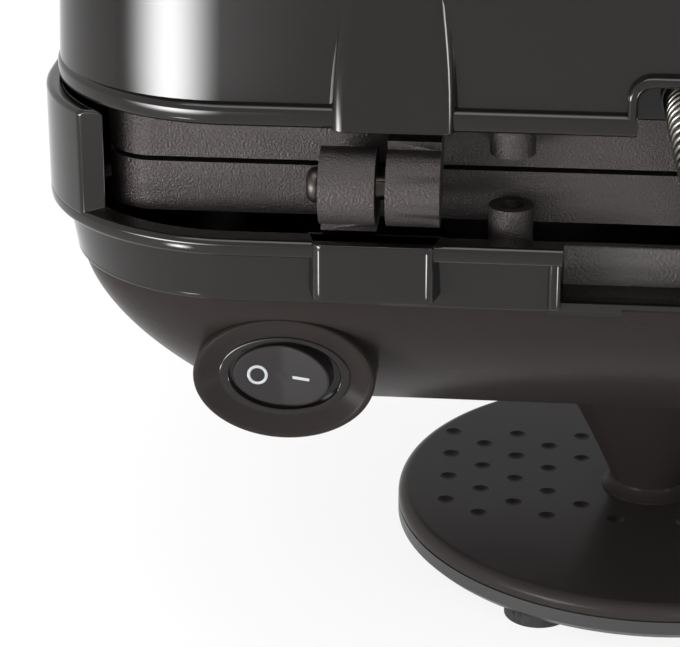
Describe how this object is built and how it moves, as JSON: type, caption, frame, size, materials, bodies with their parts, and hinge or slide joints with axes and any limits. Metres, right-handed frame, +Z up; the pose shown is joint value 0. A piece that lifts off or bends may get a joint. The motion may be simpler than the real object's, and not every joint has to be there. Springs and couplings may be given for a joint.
{
  "type": "donut maker",
  "caption": "Hinged electric donut maker on a round pedestal: glossy housings, cast ring-mould plates, rear hinge, conduit and rocker switch.",
  "frame": {"origin": "on the table, under the middle of the whole object's box", "axes": "+Y from the handles to the hinge at the rear, +Z up from the table, +X to the right seen from the front"},
  "size_m": [0.253, 0.2804, 0.1872],
  "materials": {
    "gloss_black": "gloss black moulded housing",
    "satin_black": "satin black moulding",
    "coated_cast": "die-cast, dark non-stick coat",
    "steel": "bright steel",
    "zinc": "zinc plated",
    "sheet": "aluminised sheet",
    "spring_steel": "coiled spring steel",
    "rubber": "soft black",
    "ceramic": "cream ceramic",
    "red_lens": "clear red",
    "green_lens": "clear green"
  },
  "bodies": {
    "base": {"rubber_feet": "rubber", "base_tray": "satin_black", "base_cover": "gloss_black", "pedestal_neck": "gloss_black", "pedestal_bolt": "zinc", "pedestal_nut": "zinc", "lower_shell": "gloss_black", "lower_collar": "gloss_black", "cord_gland": "rubber", "lower_plate": "coated_cast", "lower_heater": "steel", "lower_reflector": "sheet", "thermostat": "zinc", "thermal_fuse": "ceramic", "terminal_block": "ceramic", "lower_plate_screws": "zinc", "hinge_pins": "steel", "wire_conduit": "spring_steel", "lower_ferrule": "satin_black", "switch_body": "satin_black", "lower_handle": "gloss_black"},
    "lid": {"upper_shell": "gloss_black", "upper_plate": "coated_cast", "upper_heater": "steel", "upper_reflector": "sheet", "upper_plate_screws": "zinc", "power_lamp": "red_lens", "ready_lamp": "green_lens", "upper_ferrule": "satin_black", "upper_handle": "gloss_black", "latch_pin": "steel"},
    "rocker": {"switch_rocker": "satin_black"},
    "latch": {"latch": "satin_black"}
  },
  "joints": [
    {"name": "lid_hinge", "type": "hinge", "parent": "base", "child": "lid", "pos_m": [0, 0.12533, 0.123], "axis": [-1, 0, 0], "range_deg": [0, 100], "deforming": ["wire_conduit"]},
    {"name": "switch_rock", "type": "hinge", "parent": "base", "child": "rocker", "pos_m": [0.0762, 0.11823, 0.0815], "axis": [0, 0, 1], "range_deg": [0, 16]},
    {"name": "latch_swing", "type": "hinge", "parent": "lid", "child": "latch", "pos_m": [0, -0.12317, 0.1479], "axis": [1, 0, 0], "range_deg": [-40, 20]}
  ]
}
